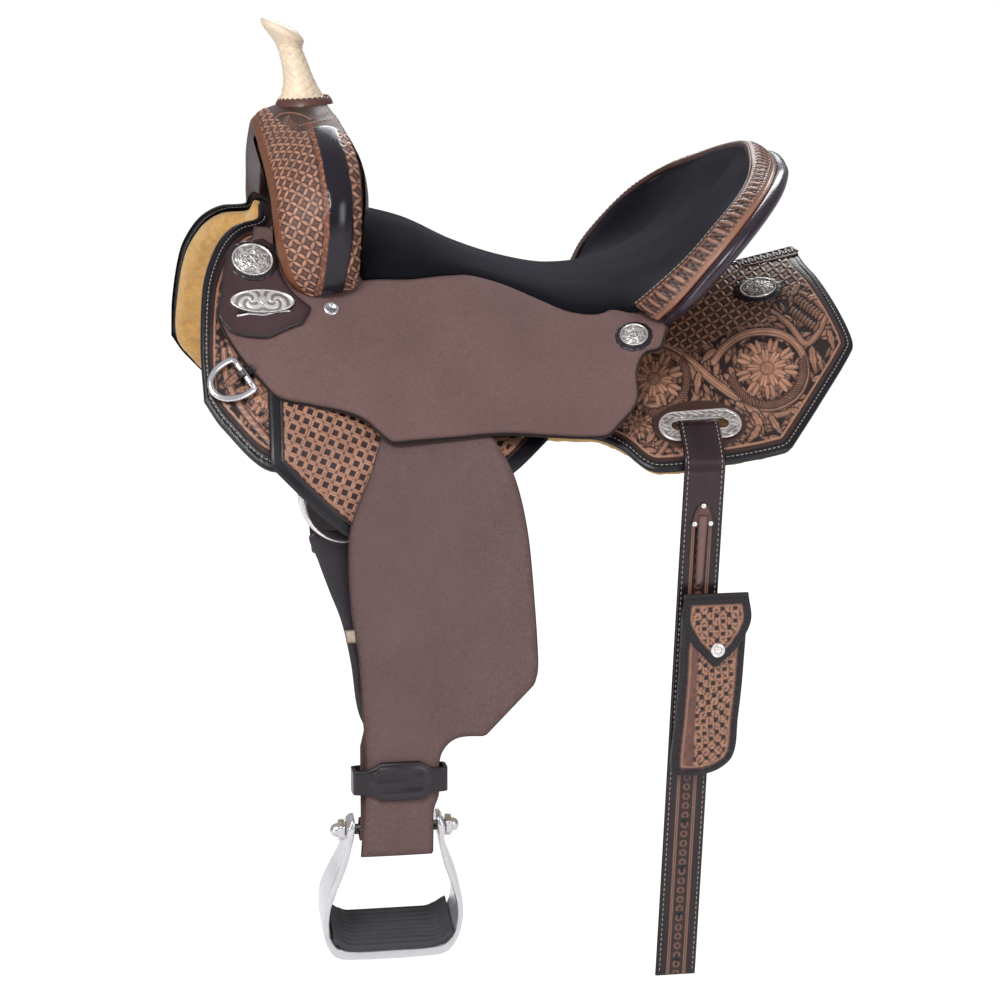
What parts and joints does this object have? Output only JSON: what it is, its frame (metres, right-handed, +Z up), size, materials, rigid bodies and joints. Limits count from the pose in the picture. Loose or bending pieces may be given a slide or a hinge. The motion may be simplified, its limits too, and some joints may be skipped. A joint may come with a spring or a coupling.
{
  "type": "western saddle",
  "caption": "Western barrel saddle: leather over a wooden tree, horn, suede seat with high cantle, tooled skirts, and hanging fenders with stirrups.",
  "frame": {"origin": "midline of the flat underside of the seat strainer, below the lowest point of the seat", "axes": "+Z up, -Y towards the horn and the front, +X towards the near (mounting) side"},
  "size_m": [0.537, 0.611, 0.8722],
  "materials": {
    "tooled_leather": "carved and antiqued",
    "roughout_leather": "roughout",
    "dark_leather": "smooth oiled",
    "black_leather": "smooth dyed",
    "suede": "suede",
    "fleece": "wool pile",
    "wood": "sealed",
    "stainless": "polished",
    "engraved_silver": "engraved antiqued",
    "aluminium": "polished",
    "tin": "plain",
    "rawhide": "laced rawhide",
    "rubber": "ribbed"
  },
  "bodies": {
    "saddle_body": {"tree_fork": "wood", "fork_cover": "tooled_leather", "tree_cantle": "wood", "cantle_back": "tooled_leather", "seat_strainer": "tin", "ground_seat": "roughout_leather", "seat_cover": "suede", "cantle_roll": "tooled_leather", "cantle_binding": "black_leather", "skirt_lacing": "black_leather", "horn_wrap": "rawhide", "horn_post": "tin", "tree_bar_near": "wood", "skirt_near": "tooled_leather", "skirt_fleece_near": "fleece", "seat_jockey_near": "roughout_leather", "front_plate_near": "dark_leather", "rigging_leather_near": "tooled_leather", "rigging_dee_near": "stainless", "dee_keeper_near": "dark_leather", "slot_plate_near": "engraved_silver", "concho_front_near": "engraved_silver", "concho_oval_near": "engraved_silver", "concho_jockey_near": "engraved_silver", "concho_skirt_near": "engraved_silver", "tree_bar_off": "wood", "skirt_off": "tooled_leather", "skirt_fleece_off": "fleece", "seat_jockey_off": "roughout_leather", "front_plate_off": "dark_leather", "rigging_leather_off": "tooled_leather", "rigging_dee_off": "stainless", "dee_keeper_off": "dark_leather", "slot_plate_off": "engraved_silver", "concho_front_off": "engraved_silver", "concho_oval_off": "engraved_silver", "concho_jockey_off": "engraved_silver", "concho_skirt_off": "engraved_silver"},
    "leather_top_near": {"stirrup_leather_top_near": "roughout_leather"},
    "leather_near": {"stirrup_leather_near": "roughout_leather", "fender_near": "roughout_leather", "hobble_strap_near": "dark_leather"},
    "stirrup_near": {"stirrup_frame_near": "aluminium", "stirrup_bolt_near": "stainless", "stirrup_tread_near": "rubber"},
    "tie_near": {"tie_strap_near": "black_leather"},
    "breast_near": {"breast_dee_near": "stainless"},
    "billet_near": {"flank_billet_near": "black_leather", "case_body": "tooled_leather"},
    "leather_top_off": {"stirrup_leather_top_off": "roughout_leather"},
    "leather_off": {"stirrup_leather_off": "roughout_leather", "fender_off": "roughout_leather", "hobble_strap_off": "dark_leather"},
    "stirrup_off": {"stirrup_frame_off": "aluminium", "stirrup_bolt_off": "stainless", "stirrup_tread_off": "rubber"},
    "tie_off": {"tie_strap_off": "black_leather"},
    "breast_off": {"breast_dee_off": "stainless"},
    "billet_off": {"flank_billet_off": "black_leather"},
    "flap_near": {"case_flap": "tooled_leather"}
  },
  "joints": [
    {"name": "leather_swing_near", "type": "hinge", "parent": "saddle_body", "child": "leather_top_near", "pos_m": [0.2, -0.168, -0.02], "axis": [1, 0, 0], "range_deg": [-18, 12]},
    {"name": "leather_lift_near", "type": "hinge", "parent": "leather_top_near", "child": "leather_near", "pos_m": [0.2465, -0.155, -0.104], "axis": [0, -1, 0], "range_deg": [0, 55]},
    {"name": "stirrup_pitch_near", "type": "hinge", "parent": "leather_near", "child": "stirrup_near", "pos_m": [0.243, -0.199, -0.452], "axis": [0, -1, 0], "range_deg": [-45, 60]},
    {"name": "tie_strap_swing_near", "type": "hinge", "parent": "saddle_body", "child": "tie_near", "pos_m": [0.231, -0.2375, -0.176], "axis": [1, 0, 0], "range_deg": [-25, 10]},
    {"name": "billet_lift_near", "type": "hinge", "parent": "saddle_body", "child": "billet_near", "pos_m": [0.207, 0.087, -0.092], "axis": [0, -1, 0], "range_deg": [0, 60]},
    {"name": "leather_swing_off", "type": "hinge", "parent": "saddle_body", "child": "leather_top_off", "pos_m": [-0.2, -0.168, -0.02], "axis": [1, 0, 0], "range_deg": [-34, 2]},
    {"name": "leather_lift_off", "type": "hinge", "parent": "leather_top_off", "child": "leather_off", "pos_m": [-0.2465, -0.13235, -0.09716], "axis": [0, 0.9613, 0.2756], "range_deg": [0, 55]},
    {"name": "stirrup_pitch_off", "type": "hinge", "parent": "leather_off", "child": "stirrup_off", "pos_m": [-0.243, -0.10959, -0.33615], "axis": [0, 0.9613, 0.2756], "range_deg": [-45, 60]},
    {"name": "tie_strap_swing_off", "type": "hinge", "parent": "saddle_body", "child": "tie_off", "pos_m": [-0.231, -0.2375, -0.176], "axis": [1, 0, 0], "range_deg": [-25, 10]},
    {"name": "billet_lift_off", "type": "hinge", "parent": "saddle_body", "child": "billet_off", "pos_m": [-0.207, 0.087, -0.092], "axis": [0, 1, 0], "range_deg": [0, 60]},
    {"name": "breast_dee_turn_near", "type": "hinge", "parent": "saddle_body", "child": "breast_near", "pos_m": [0.20586, -0.32444, -0.04785], "axis": [-0.4828, -0.4553, 0.7481], "range_deg": [0, 100]},
    {"name": "breast_dee_turn_off", "type": "hinge", "parent": "saddle_body", "child": "breast_off", "pos_m": [-0.20586, -0.32444, -0.04785], "axis": [-0.4828, 0.4553, -0.7481], "range_deg": [0, 100]},
    {"name": "case_flap_turn", "type": "hinge", "parent": "billet_near", "child": "flap_near", "pos_m": [0.2505, 0.093, -0.2425], "axis": [0, -1, 0], "range_deg": [0, 95]}
  ]
}
